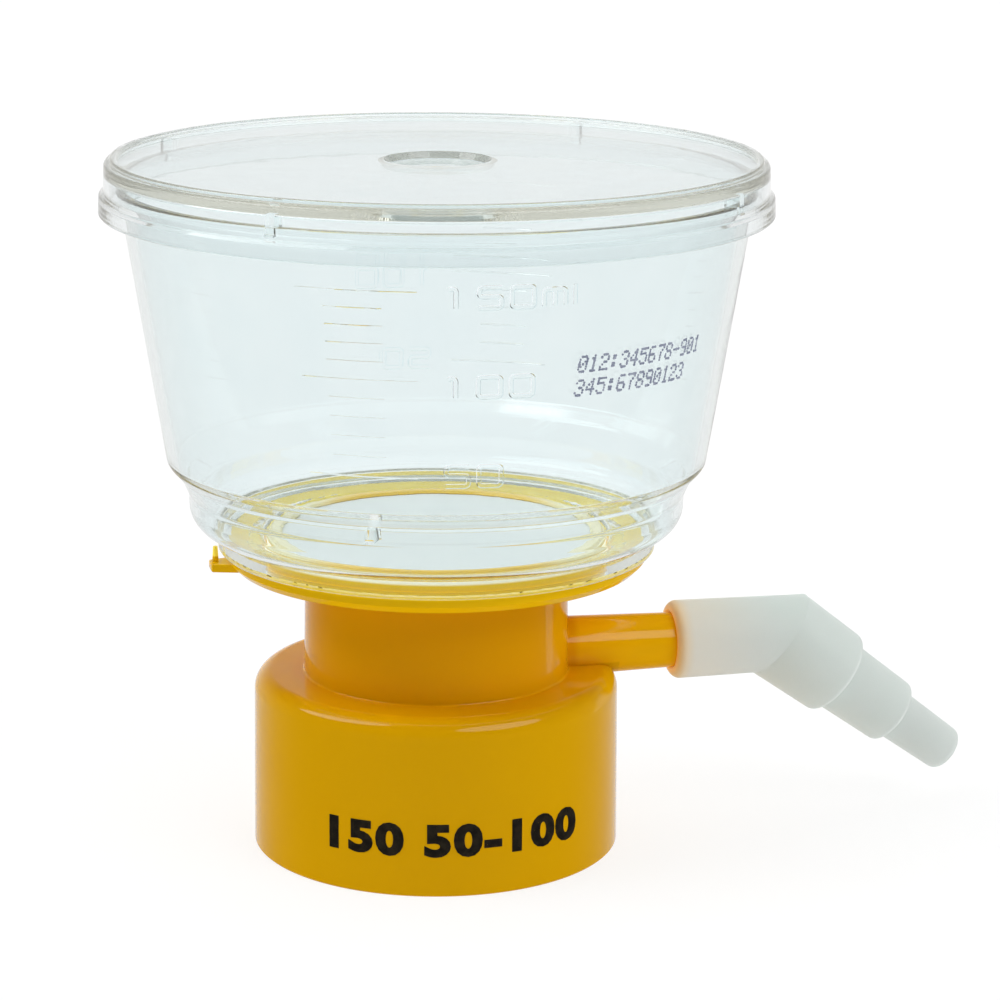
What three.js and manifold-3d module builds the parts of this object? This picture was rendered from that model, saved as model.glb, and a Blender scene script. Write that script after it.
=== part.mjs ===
// Bottle-top vacuum filtration unit: a clear lid on a clear 150 ml funnel, welded to a
// yellow moulded base with a filter membrane, a screw cap for the bottle neck and a side
// arm that carries a swivelling stepped hose adapter.
// Millimetres, +Z up. The origin is on the cap's axis, in the plane of the cap's rim.
import {
  BoxGeometry, BufferAttribute, BufferGeometry, CylinderGeometry, ExtrudeGeometry, Group,
  LatheGeometry, Mesh, MeshStandardMaterial, Shape, SphereGeometry, Vector2,
} from 'three';
import { mergeVertices } from 'three/addons/utils/BufferGeometryUtils.js';
import Module from 'manifold-3d';

const wasm = await Module();
wasm.setup();

// ---- driving dimensions (millimetres and degrees) ----

const SEGMENTS = 60; // facets round the large mouldings
const SMALL_SEGMENTS = 28; // facets round the arm, the spout and the adapter
const FILLET_STEPS = 3; // facets along each fillet
const EDGE_FILLET = 0.9; // a fillet smaller than this is one facet
const JOIN = 0.4; // depth that fused features reach into each other
const OVERCUT = 1; // length that a cut runs past the face it opens

// screw cap of the base, for a bottle neck with a 45 mm thread
const BOTTLE_THREAD_D = 45;
const THREAD_CLEARANCE = 0.2;
const CAP_WALL = 1.65;
const CAP_HEIGHT = 23.5;
const CAP_ROOF = 2;
const CAP_DRAFT = 0.18; // radius lost from the rim to the shoulder
const CAP_SHOULDER = 2.4; // fillet between the cap's side and its top
const RIM_CHAMFER = 0.25;

// sealing washer under the roof of the cap
const GASKET_THICKNESS = 1.6;
const GASKET_SETBACK = 0.6; // bore of the washer, outside the neck's bore
const GASKET_CLEARANCE = 0.4; // to the cap's bore

// neck between the cap and the flange
const NECK_R = 17.4; // under the flange
const NECK_DRAFT = 0.2; // radius gained from the flange down to the cap
const NECK_WALL = 1.4;
const NECK_HEIGHT = 15;
const NECK_FILLET = 0.8;

// flange, and the raised platform that carries the membrane
const FLANGE_R = 27.7;
const FLANGE_THICKNESS = 2.1;
const FLANGE_BEVEL = 0.95;
const PLATFORM_R = 22.4;
const PLATFORM_STEP = 1.65; // height of the platform above the flange
const LIP_WIDTH = 0.35;
const LIP_HEIGHT = 0.3;
const LAND_WIDTH = 1.2; // flat ring that the membrane is sealed to
const DRAIN_DEPTH = 0.9; // of the drain floor at the land
const DRAIN_FALL = 0.8; // further, from the land to the spout
const PLATE_THICKNESS = 1.6; // under the drain floor
const LONG_RIBS = 12; // membrane ribs that reach the spout
const SHORT_RIBS = 12; // membrane ribs between them, in the outer part
const RIB_WIDTH = 0.8;
const SHORT_RIB_LENGTH = 9;

// outlet spout under the platform
const SPOUT_BORE_R = 2.6;
const SPOUT_WALL = 1.2;
const SPOUT_TAPER = 0.3; // radius lost from the platform to the spout's end

// membrane
const MEMBRANE_THICKNESS = 0.15;
const MEMBRANE_CLEARANCE = 0.25; // to the lip round it

// vacuum side arm
const ARM_AZIMUTH = 12.2; // from +X towards +Y
const ARM_RISE = 1.85; // height of the arm's axis above the cap's top
const ARM_ROOT_R = 4.06; // at the neck
const ARM_TIP_R = 3.42;
const ARM_REACH = 45.2; // from the cap's axis
const ARM_BORE_R = 2.2;

// index tab with its pin, opposite the side arm
const TAB_REACH = 30.2;
const TAB_WIDTH = 2.6; // at the outer end
const TAB_FLARE = 1.1; // further width at each side, where it meets the flange
const TAB_THICKNESS = 1.15;
const PIN_R = 0.46;
const PIN_TIP_R = 0.3;
const PIN_HEIGHT = 2.1;
const PIN_SETBACK = 0.25; // from the tab's end to the pin
const PIN_SEGMENTS = 12;

// hose adapter
const SWIVEL_CLEARANCE = 0.3; // radial, between the arm and the socket
const ADAPTER_MOUTH = 31.7; // from the cap's axis to the socket's mouth
const ADAPTER_ELBOW = 47.8; // from the cap's axis to the elbow
const ADAPTER_WALL = 1.3; // at the mouth
const ADAPTER_TAPER = 0.22; // radius lost from the mouth to the elbow
const MOUTH_ROUND = 1.15; // fillet round the mouth
const ELBOW_BEND = 36.6; // below the arm's axis
const STEP_COUNT = 3; // hose steps
const STEP_LENGTH = 10.4; // of each step
const STEP_ROOT_R = 6.42; // at the elbow's side of the first step
const STEP_DROP = 1.48; // radius lost from each step to the next
const STEP_TAPER = 0.34; // radius lost along each step
const STEP_ROUND = 0.7; // fillet at the outer edge of each step
const SEAM = 0.1; // depth that the steps and the socket share at the elbow
const CREASE_ROUND = 0.35; // fillet at the elbow's crease
const HOSE_BORE_R = 2.1;

// funnel
const WALL = 1.3;
const FUNNEL_CLEARANCE = 0.3; // between the platform and the funnel's floor
const WELD_GAP = 0.12; // between the flange and the foot, beside the weld ring
const WELD_RING_R = 25; // mean radius of the weld ring
const WELD_RING_WIDTH = 0.8;
const FOOT_OVERHANG = 1.1; // of the foot beyond the flange
const FOOT_HEIGHT = 2.6;
const FOOT_FILLET = 0.4;
const FLOOR_LIP = 1.8; // thickness of the floor beside the membrane
const FLOOR_LIP_ROUND = 0.3;
const BAND_R = 32.5; // outside of the lower band
const BAND_ROUND = 3.65; // fillet under the lower band
const BAND_TOP = 48.2; // height where the shoulder starts to spread
const SPREAD_OUT = 1.1; // outwards, from the band to the knee of the shoulder
const SPREAD_UP = 2.5; // upwards, from the band to the knee
const STEP_OUT = 1.73; // outwards, from the knee to the wall
const STEP_UP = 1.9; // upwards, from the knee to the wall
const SPREAD_ROUND = 1.5; // fillet where the shoulder starts to spread
const KNEE_ROUND = 1; // fillet at the knee
const CONE_ROUND = 1.7; // fillet where the wall leaves the shoulder
const CONE_SLOPE = 0.1632; // radius gained per millimetre of height
const RIM_HEIGHT = 88.7;
const RIM_ROUND = 0.35;
const KEY_AZIMUTH = -103.2; // of the small key on the shoulder
const KEY_WIDTH = 1.1;
const KEY_PROUD = 0.45;

// lid
const LID_VENT = 1.6; // gap between the funnel's rim and the panel
const PANEL_THICKNESS = 1.4;
const SKIRT_CLEARANCE = 0.65; // between the funnel's rim and the upper skirt
const SKIRT_WALL = 1.05;
const SKIRT_FLARE = 0.6; // outwards step from the upper to the lower skirt
const SKIRT_DRAFT = 0.12; // radius gained down each part of the skirt
const SKIRT_BOTTOM = 3.7; // below the funnel's rim
const SKIRT_STEP = 0.9; // height of the skirt's step, below the funnel's rim
const SKIRT_STEP_HEIGHT = 0.6;
const LID_EDGE = 0.5; // fillet at the panel's outer edge
const LID_FILLET = 0.35; // other fillets of the lid
const BEAD_HEIGHT = 0.6; // of the stacking bead above the panel
const BEAD_WIDTH = 1;
const BEAD_SETBACK = 0.75; // from the skirt's outside to the bead
const BEAD_ROUND = 0.3;
const WELL_R = 6.95; // of the round gate well in the panel
const WELL_DEPTH = 0.9;
const VENT_RIBS = 4;
const VENT_RIB_AZIMUTH = 62;
const VENT_RIB_WIDTH = 1.2;
const VENT_RIB_DROP = 1.5; // below the funnel's rim
const VENT_RIB_CLEARANCE = 0.25; // beside the funnel's rim

// ---- sizes worked out from these ----

const capBoreR = BOTTLE_THREAD_D / 2 + THREAD_CLEARANCE;
const capR = capBoreR + CAP_WALL;
const roofZ = CAP_HEIGHT - CAP_ROOF;
const neckBoreR = NECK_R - NECK_WALL;
const flangeZ = CAP_HEIGHT + NECK_HEIGHT;
const flangeTop = flangeZ + FLANGE_THICKNESS;
const platformZ = flangeTop + PLATFORM_STEP;
const membraneR = PLATFORM_R - LIP_WIDTH - MEMBRANE_CLEARANCE;
const drainR = membraneR - LAND_WIDTH;
const drainZ = platformZ - DRAIN_DEPTH;
const spoutR = SPOUT_BORE_R + SPOUT_WALL;
const spoutEnd = roofZ - GASKET_THICKNESS;
const armZ = CAP_HEIGHT + ARM_RISE;
const armSlope = (ARM_ROOT_R - ARM_TIP_R) / (ARM_REACH - NECK_R);
const armRadiusAt = (reach) => ARM_TIP_R + armSlope * (ARM_REACH - reach);
const footR = FLANGE_R + FOOT_OVERHANG;
const coneFootR = BAND_R + SPREAD_OUT + STEP_OUT;
const coneFootZ = BAND_TOP + SPREAD_UP + STEP_UP;
const rimR = coneFootR + CONE_SLOPE * (RIM_HEIGHT - coneFootZ);
const panelZ = RIM_HEIGHT + LID_VENT;
const panelTop = panelZ + PANEL_THICKNESS;
const skirtBoreR = rimR + SKIRT_CLEARANCE;
const skirtR = skirtBoreR + SKIRT_WALL;

// ---- building blocks ----

// a closed outline through corners [r, z, fillet radius], each fillet an arc
function outline(corners) {
  const points = [];
  corners.forEach(([r, z, fillet = 0], i) => {
    const corner = new Vector2(r, z);
    if (fillet === 0) {
      points.push(corner);
      return;
    }
    const towards = (other) => new Vector2(other[0], other[1]).sub(corner).normalize();
    const before = towards(corners.at(i - 1));
    const after = towards(corners[(i + 1) % corners.length]);
    const half = Math.acos(before.dot(after)) / 2;
    const centre = before.clone().add(after).setLength(fillet / Math.sin(half)).add(corner);
    const setback = fillet / Math.tan(half);
    const start = before.multiplyScalar(setback).add(corner).sub(centre).angle();
    const end = after.multiplyScalar(setback).add(corner).sub(centre).angle();
    const sweep = Math.atan2(Math.sin(end - start), Math.cos(end - start));
    const steps = fillet < EDGE_FILLET ? 1 : FILLET_STEPS;
    for (let k = 0; k <= steps; k += 1) {
      const angle = start + sweep * k / steps;
      points.push(new Vector2(Math.cos(angle), Math.sin(angle)).multiplyScalar(fillet).add(centre));
    }
  });
  points.push(points[0].clone());
  return points;
}

// a closed geometry as a solid, with its shared vertices merged
function solid(geometry) {
  const bare = geometry.clone();
  bare.deleteAttribute('normal');
  bare.deleteAttribute('uv');
  const merged = mergeVertices(bare, 1e-4);
  const vertProperties = new Float32Array(merged.attributes.position.array);
  const triVerts = new Uint32Array(merged.index.array);
  return new wasm.Manifold(new wasm.Mesh({ numProp: 3, vertProperties, triVerts }));
}

// the inner face of a wall whose outer face runs through corners [r, z, fillet radius] upwards;
// the fillet shrinks by the wall where the face turns inwards, and grows where it turns outwards
function innerFace(corners, wall) {
  const inward = (from, to) => {
    const along = new Vector2(to[0] - from[0], to[1] - from[1]).normalize();
    return new Vector2(-along.y, along.x);
  };
  return corners.slice(1, -1).map(([r, z, fillet], i) => {
    const below = inward(corners[i], corners[i + 1]);
    const above = inward(corners[i + 1], corners[i + 2]);
    const shift = below.clone().add(above).multiplyScalar(wall / (1 + below.dot(above)));
    const turn = Math.sign(below.cross(above));
    return [r + shift.x, z + shift.y, Math.max(fillet - turn * wall, 0)];
  }).reverse();
}

// a solid of revolution about +Z, from corners given anticlockwise in the (r, z) plane
const revolve = (corners, segments = SEGMENTS) => (
  solid(new LatheGeometry(outline(corners), segments).rotateX(Math.PI / 2)));

// a cone frustum about +Z, from z = low to z = high
const frustum = (lowR, highR, low, high, segments = SMALL_SEGMENTS) => (
  solid(new CylinderGeometry(highR, lowR, high - low, segments)
    .rotateX(Math.PI / 2).translate(0, 0, (low + high) / 2)));

// a box between two corners
function block(low, high) {
  const size = high.map((value, i) => value - low[i]);
  const centre = high.map((value, i) => (value + low[i]) / 2);
  return solid(new BoxGeometry(...size).translate(...centre));
}

// a solid made about +Z, laid along the side arm's axis with its z = 0 on the cap's axis
const alongArm = (shape) => shape.rotate([0, 90, 0]).rotate([0, 0, ARM_AZIMUTH]).translate([0, 0, armZ]);

const union = (shapes) => shapes.reduce((whole, shape) => whole.add(shape));

// a named mesh of a solid in one material
function part(name, shape, material) {
  const { numProp, vertProperties, triVerts } = shape.getMesh();
  const positions = new Float32Array(triVerts.length * 3);
  triVerts.forEach((vertex, i) => {
    for (let axis = 0; axis < 3; axis += 1) {
      positions[3 * i + axis] = vertProperties[vertex * numProp + axis];
    }
  });
  const geometry = new BufferGeometry();
  geometry.setAttribute('position', new BufferAttribute(positions, 3));
  geometry.computeVertexNormals();
  const mesh = new Mesh(geometry, material);
  mesh.name = name;
  return mesh;
}

// ---- support base: cap, neck, flange, platform, spout, side arm and index tab ----

// cap, neck, flange and platform in one revolved section, up the outside and down the inside
function baseBody() {
  const neckRootR = NECK_R + NECK_DRAFT;
  const undersideZ = drainZ - PLATE_THICKNESS;
  return revolve([
    [capBoreR, 0],
    [capR - RIM_CHAMFER, 0],
    [capR, RIM_CHAMFER],
    [capR - CAP_DRAFT, CAP_HEIGHT, CAP_SHOULDER],
    [neckRootR, CAP_HEIGHT, NECK_FILLET],
    [NECK_R, flangeZ, NECK_FILLET],
    [FLANGE_R - FLANGE_BEVEL, flangeZ],
    [FLANGE_R, flangeZ + FLANGE_BEVEL],
    [FLANGE_R, flangeTop],
    [PLATFORM_R, flangeTop],
    [PLATFORM_R, platformZ + LIP_HEIGHT],
    [PLATFORM_R - LIP_WIDTH, platformZ + LIP_HEIGHT],
    [PLATFORM_R - LIP_WIDTH, platformZ],
    [drainR, platformZ],
    [drainR, drainZ],
    [SPOUT_BORE_R, drainZ - DRAIN_FALL],
    [SPOUT_BORE_R, undersideZ - DRAIN_FALL],
    [spoutR, undersideZ - DRAIN_FALL],
    [neckBoreR, undersideZ, NECK_FILLET],
    [neckBoreR, roofZ],
    [capBoreR, roofZ],
  ]);
}

// ribs that hold the membrane above the drain floor, level with its land
function membraneRibs() {
  const floorFall = JOIN + DRAIN_DEPTH + DRAIN_FALL;
  const rib = (from, azimuth) => (
    block([from, -RIB_WIDTH / 2, platformZ - floorFall], [drainR + JOIN, RIB_WIDTH / 2, platformZ])
      .rotate([0, 0, azimuth]));
  const ring = (count, from, phase) => (
    Array.from({ length: count }, (_, i) => rib(from, (i + phase) * 360 / count)));
  return union([
    ...ring(LONG_RIBS, SPOUT_BORE_R + RIB_WIDTH, 0),
    ...ring(SHORT_RIBS, drainR - SHORT_RIB_LENGTH, 0.5),
  ]);
}

// outlet spout, from inside the platform's plate down to the washer's underside
function spout() {
  const top = drainZ - DRAIN_FALL - JOIN;
  const tube = frustum(spoutR - SPOUT_TAPER, spoutR, spoutEnd, top);
  const bore = frustum(SPOUT_BORE_R - SPOUT_TAPER, SPOUT_BORE_R, spoutEnd - OVERCUT, top + OVERCUT);
  return tube.subtract(bore);
}

// side arm, from inside the neck's wall to its tip, kept out of the cap's cavity
function sideArm() {
  const root = NECK_R - NECK_WALL / 2;
  const cavity = frustum(capBoreR, capBoreR, 0, roofZ, SEGMENTS);
  return alongArm(frustum(armRadiusAt(root), ARM_TIP_R, root, ARM_REACH)).subtract(cavity);
}

// bore through the side arm and the neck's wall
const armBore = () => alongArm(frustum(ARM_BORE_R, ARM_BORE_R, neckBoreR / 2, ARM_REACH + OVERCUT));

// index tab, level with the flange's underside and flared where it meets the flange
function indexTab() {
  const root = FLANGE_R - FLANGE_BEVEL - JOIN;
  const half = TAB_WIDTH / 2;
  const plan = new Shape()
    .moveTo(root, -half - TAB_FLARE)
    .lineTo(TAB_REACH, -half)
    .lineTo(TAB_REACH, half)
    .lineTo(root, half + TAB_FLARE)
    .closePath();
  const tab = solid(new ExtrudeGeometry(plan, { depth: TAB_THICKNESS, bevelEnabled: false }));
  const pin = frustum(PIN_R, PIN_TIP_R, TAB_THICKNESS - JOIN, TAB_THICKNESS + PIN_HEIGHT, PIN_SEGMENTS);
  const pinReach = TAB_REACH - PIN_R - PIN_SETBACK;
  return tab.add(pin.translate([pinReach, 0, 0]))
    .rotate([0, 0, ARM_AZIMUTH + 180])
    .translate([0, 0, flangeZ]);
}

function supportBase() {
  return baseBody()
    .add(membraneRibs())
    .add(spout())
    .add(sideArm())
    .add(indexTab())
    .subtract(armBore());
}

// ---- membrane and washer ----

const membrane = () => frustum(membraneR, membraneR, platformZ, platformZ + MEMBRANE_THICKNESS, SEGMENTS);

function neckGasket() {
  const inner = neckBoreR + GASKET_SETBACK;
  const outer = capBoreR - GASKET_CLEARANCE;
  return revolve([[inner, spoutEnd], [outer, spoutEnd], [outer, roofZ], [inner, roofZ]]);
}

// ---- hose adapter: socket on the arm, elbow and three hose steps ----

// outside of the socket, from its rounded mouth to beyond the elbow
function socketBody(mouthR) {
  const elbowR = mouthR - ADAPTER_TAPER;
  const end = ADAPTER_ELBOW + elbowR;
  return revolve([
    [0, ADAPTER_MOUTH],
    [mouthR, ADAPTER_MOUTH, MOUTH_ROUND],
    [elbowR, end],
    [0, end],
  ], SMALL_SEGMENTS);
}

// outside of the hose steps, along +Z from the elbow
function hoseSteps() {
  const corners = [[0, 0], [STEP_ROOT_R, 0, CREASE_ROUND]];
  for (let i = 0; i < STEP_COUNT; i += 1) {
    const top = STEP_LENGTH * (i + 1);
    corners.push([STEP_ROOT_R - i * STEP_DROP - STEP_TAPER, top, STEP_ROUND]);
    corners.push([i + 1 < STEP_COUNT ? STEP_ROOT_R - (i + 1) * STEP_DROP : 0, top]);
  }
  return revolve(corners, SMALL_SEGMENTS);
}

function hoseAdapter() {
  const socketR = (reach) => armRadiusAt(reach) + SWIVEL_CLEARANCE;
  const socketEnd = ARM_REACH + SWIVEL_CLEARANCE;
  const mouthR = socketR(ADAPTER_MOUTH) + ADAPTER_WALL;
  const bent = (shape) => shape.rotate([0, ELBOW_BEND, 0]).translate([0, 0, ADAPTER_ELBOW]);
  const stepsLength = STEP_COUNT * STEP_LENGTH;
  const farSide = bent(block([-2 * mouthR, -2 * mouthR, SEAM], [4 * mouthR, 2 * mouthR, stepsLength]));
  const outside = socketBody(mouthR).subtract(farSide).add(bent(hoseSteps()));
  const socketStart = ADAPTER_MOUTH - OVERCUT;
  const socket = frustum(socketR(socketStart), socketR(socketEnd), socketStart, socketEnd);
  const passage = frustum(HOSE_BORE_R, HOSE_BORE_R, socketEnd - OVERCUT, ADAPTER_ELBOW);
  const turn = solid(new SphereGeometry(HOSE_BORE_R, SMALL_SEGMENTS, SMALL_SEGMENTS / 2)
    .rotateX(Math.PI / 2).translate(0, 0, ADAPTER_ELBOW));
  const hoseBore = bent(frustum(HOSE_BORE_R, HOSE_BORE_R, 0, stepsLength + OVERCUT));
  return alongArm(outside.subtract(socket).subtract(union([passage, turn, hoseBore])));
}

// ---- funnel ----

function funnelShell() {
  const footZ = flangeTop + WELD_GAP;
  const bandFloor = footZ + FOOT_HEIGHT;
  const openingR = PLATFORM_R + FUNNEL_CLEARANCE;
  const ringIn = WELD_RING_R - WELD_RING_WIDTH / 2;
  const ringOut = WELD_RING_R + WELD_RING_WIDTH / 2;
  const outerFace = [
    [footR, bandFloor],
    [BAND_R, bandFloor, BAND_ROUND],
    [BAND_R, BAND_TOP, SPREAD_ROUND],
    [BAND_R + SPREAD_OUT, BAND_TOP + SPREAD_UP, KNEE_ROUND],
    [coneFootR, coneFootZ, CONE_ROUND],
    [rimR, RIM_HEIGHT, RIM_ROUND],
  ];
  return revolve([
    [openingR, footZ],
    [ringIn, footZ],
    [ringIn, flangeTop],
    [ringOut, flangeTop],
    [ringOut, footZ],
    [footR, footZ, FOOT_FILLET],
    ...outerFace,
    [rimR - WALL, RIM_HEIGHT, RIM_ROUND],
    ...innerFace(outerFace, WALL),
    [openingR, footZ + FLOOR_LIP, FLOOR_LIP_ROUND],
  ]);
}

// small key moulded across the shoulder
function shoulderKey() {
  const inner = [BAND_R - WALL / 2, -KEY_WIDTH / 2, BAND_TOP + WALL];
  const outer = [coneFootR + KEY_PROUD, KEY_WIDTH / 2, coneFootZ - WALL];
  return block(inner, outer).rotate([0, 0, KEY_AZIMUTH]);
}

const funnel = () => funnelShell().add(shoulderKey());

// ---- lid ----

// panel with its gate well and stacking bead, and the stepped skirt round the funnel's rim
function lidShell() {
  const skirtTopR = skirtR - SKIRT_DRAFT;
  const stepZ = RIM_HEIGHT - SKIRT_STEP;
  const bottomZ = RIM_HEIGHT - SKIRT_BOTTOM;
  const lowerR = skirtR + SKIRT_FLARE;
  const beadOuter = skirtTopR - BEAD_SETBACK;
  const beadInner = beadOuter - BEAD_WIDTH;
  const beadTop = panelTop + BEAD_HEIGHT;
  return revolve([
    [0, panelZ - WELL_DEPTH],
    [WELL_R + PANEL_THICKNESS / 2, panelZ - WELL_DEPTH, LID_FILLET],
    [WELL_R + PANEL_THICKNESS, panelZ],
    [skirtBoreR - SKIRT_DRAFT, panelZ, LID_FILLET],
    [skirtBoreR, stepZ],
    [skirtBoreR + SKIRT_FLARE, stepZ - SKIRT_WALL],
    [skirtBoreR + SKIRT_FLARE, bottomZ],
    [lowerR + SKIRT_DRAFT, bottomZ, LID_FILLET],
    [lowerR, stepZ - SKIRT_STEP_HEIGHT / 2, LID_FILLET],
    [skirtR, stepZ + SKIRT_STEP_HEIGHT / 2],
    [skirtTopR, panelTop, LID_EDGE],
    [beadOuter, panelTop],
    [beadOuter, beadTop, BEAD_ROUND],
    [beadInner, beadTop, BEAD_ROUND],
    [beadInner, panelTop],
    [WELL_R, panelTop],
    [WELL_R - WELL_DEPTH / 2, panelTop - WELL_DEPTH],
    [0, panelTop - WELL_DEPTH],
  ]);
}

// ribs under the panel: each rests on the funnel's rim and reaches down beside it
function ventRibs() {
  const half = VENT_RIB_WIDTH / 2;
  const outer = skirtBoreR + JOIN;
  const shelf = block([rimR - WALL, -half, RIM_HEIGHT], [outer, half, panelZ + JOIN]);
  const guide = block(
    [rimR + VENT_RIB_CLEARANCE, -half, RIM_HEIGHT - VENT_RIB_DROP],
    [outer, half, RIM_HEIGHT + JOIN],
  );
  const rib = shelf.add(guide);
  return union(Array.from({ length: VENT_RIBS }, (_, i) => (
    rib.rotate([0, 0, VENT_RIB_AZIMUTH + i * 360 / VENT_RIBS]))));
}

const lid = () => lidShell().add(ventRibs());

// ---- assembly ----

const clear = new MeshStandardMaterial({
  color: 0xe4eeef, roughness: 0.06, metalness: 0, transparent: true, opacity: 0.35,
});
const yellow = new MeshStandardMaterial({ color: 0xe0a000, roughness: 0.3, metalness: 0 });
const frosted = new MeshStandardMaterial({ color: 0xd8dedb, roughness: 0.45, metalness: 0 });
const filter = new MeshStandardMaterial({ color: 0xf4f4f0, roughness: 0.9, metalness: 0 });
const rubber = new MeshStandardMaterial({ color: 0xe8e6df, roughness: 0.7, metalness: 0 });

const unit = new Group();
unit.add(
  part('support_base', supportBase(), yellow),
  part('neck_gasket', neckGasket(), rubber),
  part('membrane', membrane(), filter),
  part('funnel', funnel(), clear),
  part('lid', lid(), clear),
  part('hose_adapter', hoseAdapter(), frosted),
);

export default unit;
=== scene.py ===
"""Looks of a bottle-top vacuum filtration unit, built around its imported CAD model.

A clear lid rests on a clear funnel, which is welded to a yellow moulded base. The base has a
screw cap, a neck, a flange that carries the filter membrane, and a side arm with a stepped
hose adapter of frosted white plastic.
Sizes are in millimetres and turned into metres as a mesh is made. +Z is up, the graduated
front faces -Y, and a bearing is an angle from -Y towards +X.
"""

import math

import bmesh
import bpy
from mathutils import Matrix, Vector, noise


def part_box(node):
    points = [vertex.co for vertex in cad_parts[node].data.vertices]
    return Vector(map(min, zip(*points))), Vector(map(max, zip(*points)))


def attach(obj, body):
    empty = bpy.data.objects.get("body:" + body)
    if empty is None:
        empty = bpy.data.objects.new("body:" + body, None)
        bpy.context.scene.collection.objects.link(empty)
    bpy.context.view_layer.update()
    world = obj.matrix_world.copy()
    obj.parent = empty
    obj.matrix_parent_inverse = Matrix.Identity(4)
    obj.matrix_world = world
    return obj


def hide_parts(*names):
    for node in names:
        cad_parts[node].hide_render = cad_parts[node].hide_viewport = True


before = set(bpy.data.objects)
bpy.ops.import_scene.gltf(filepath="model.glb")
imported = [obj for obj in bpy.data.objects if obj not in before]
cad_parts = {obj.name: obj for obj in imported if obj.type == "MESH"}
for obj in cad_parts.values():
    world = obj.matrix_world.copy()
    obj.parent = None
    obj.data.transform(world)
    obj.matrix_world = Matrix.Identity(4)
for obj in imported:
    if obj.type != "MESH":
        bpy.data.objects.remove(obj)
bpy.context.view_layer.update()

MM = 0.001  # metres
ML = 1000  # cubic millimetres

# ---- sizes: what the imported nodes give, in millimetres ----

LOW, HIGH = {}, {}
for piece in ("support_base", "neck_gasket", "membrane", "funnel", "lid"):
    LOW[piece], HIGH[piece] = [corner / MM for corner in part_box(piece)]

ROOF_Z = HIGH["neck_gasket"].z
SPOUT_END = LOW["neck_gasket"].z
FLANGE_TOP = LOW["funnel"].z
PLATFORM_Z = LOW["membrane"].z
LIP_TOP = HIGH["support_base"].z
MEMBRANE_R = HIGH["membrane"].x
RIM_Z = HIGH["funnel"].z
RIM_R = HIGH["funnel"].x
LID_BOTTOM = LOW["lid"].z
BEAD_TOP = HIGH["lid"].z

# ---- sizes: the rest, in millimetres and degrees ----

ROUND = 240  # faces round the large mouldings
CLEAR_ROUND = 360  # faces round the clear ones, whose facets would show
SLIM_ROUND = 96  # faces round the arm, the spout and the adapter
ARC_STEP = math.radians(7)  # of the arcs in a section
SMOOTH_ANGLE = math.radians(35)  # a sharper edge between two faces stays an edge
LEAST_EDGE = 1e-8  # metres
JOIN = 0.4  # depth that fused features reach into each other
OVERCUT = 1  # length that a cut runs past the face it opens
EDGE_ROUND = 0.1  # fillets of edges that have none of their own
SMALL_ROUND = 0.15
CORNER_ROUND = 0.2

CAP_BORE_R = 22.7
CAP_R = 24.35
CAP_HEIGHT = 23.5
CAP_DRAFT = 0.18  # radius lost from the rim to the shoulder
CAP_SHOULDER = 2.4
RIM_CHAMFER = 0.25
THREAD_DEPTH = 1.1
THREAD_PITCH = 4
THREAD_TURNS = 2.6
THREAD_START = 4.5

NECK_R = 17.4
NECK_DRAFT = 0.2  # radius gained from the flange down to the cap
NECK_WALL = 1.4
NECK_FILLET = 0.8
NECK_ROOT_FILLET = 0.3
FLANGE_Z = 38.5
FLANGE_R = 27.7
FLANGE_BEVEL = 0.95
FLANGE_ROUND = 0.3
PLATFORM_R = 22.4
LIP_WIDTH = 0.35
LIP_ROUND = 0.08
LAND_WIDTH = 1.2  # flat ring that the membrane is sealed to
DRAIN_DEPTH = 0.9  # of the drain floor at the land
DRAIN_FALL = 0.8  # further, from the land to the spout
PLATE_THICKNESS = 1.6
SEAL_R = 0.85  # half width of the bead at the membrane's edge
SEAL_FLATNESS = 0.45  # its height as a share of its width
SEAL_OVERLAP = 0.5  # from the membrane's edge inwards to the bead's middle
SEAL_WANDER = 1  # how far the bead strays from its circle
LONG_RIBS = 12  # and as many short ones between them
RIB_WIDTH = 0.8
SHORT_RIB_LENGTH = 9
SPOUT_BORE_R = 2.6
SPOUT_WALL = 1.2
SPOUT_TAPER = 0.3

ARM_AZIMUTH = 12.2  # from +X towards +Y
ARM_Z = 25.35
ARM_ROOT_R = 4.06
ARM_TIP_R = 3.42
ARM_REACH = 45.2  # from the cap's axis
ARM_BORE_R = 2.2
ARM_TIP_ROUND = 0.3
TAB_REACH = 30.2
TAB_WIDTH = 2.6
TAB_FLARE = 1.1
TAB_THICKNESS = 1.15
TAB_ROUND = 0.25
PIN_R = 0.46
PIN_TIP_R = 0.3
PIN_HEIGHT = 2.1
PIN_SETBACK = 0.25
PIN_SIDES = 24

SWIVEL_CLEARANCE = 0.3
ADAPTER_MOUTH = 32.3  # from the cap's axis to the socket's mouth
ADAPTER_ELBOW = 47.8
ADAPTER_WALL = 1.3
ADAPTER_TAPER = 0.22  # radius lost from the mouth to the elbow
MOUTH_ROUND = 1.15
ELBOW_BEND = 36.6
STEP_COUNT = 3
STEP_LENGTH = 10.4
STEP_ROOT_R = 6.42
STEP_DROP = 1.48  # radius lost from each step to the next
STEP_TAPER = 0.34  # radius lost along each step
STEP_ROUND = 0.7
TIP_ROUND = 1.15
ELBOW_BLEND = 8  # length over which the first step widens from the socket's width
BLEND_RINGS = 8
HOSE_BORE_R = 2.1

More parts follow.
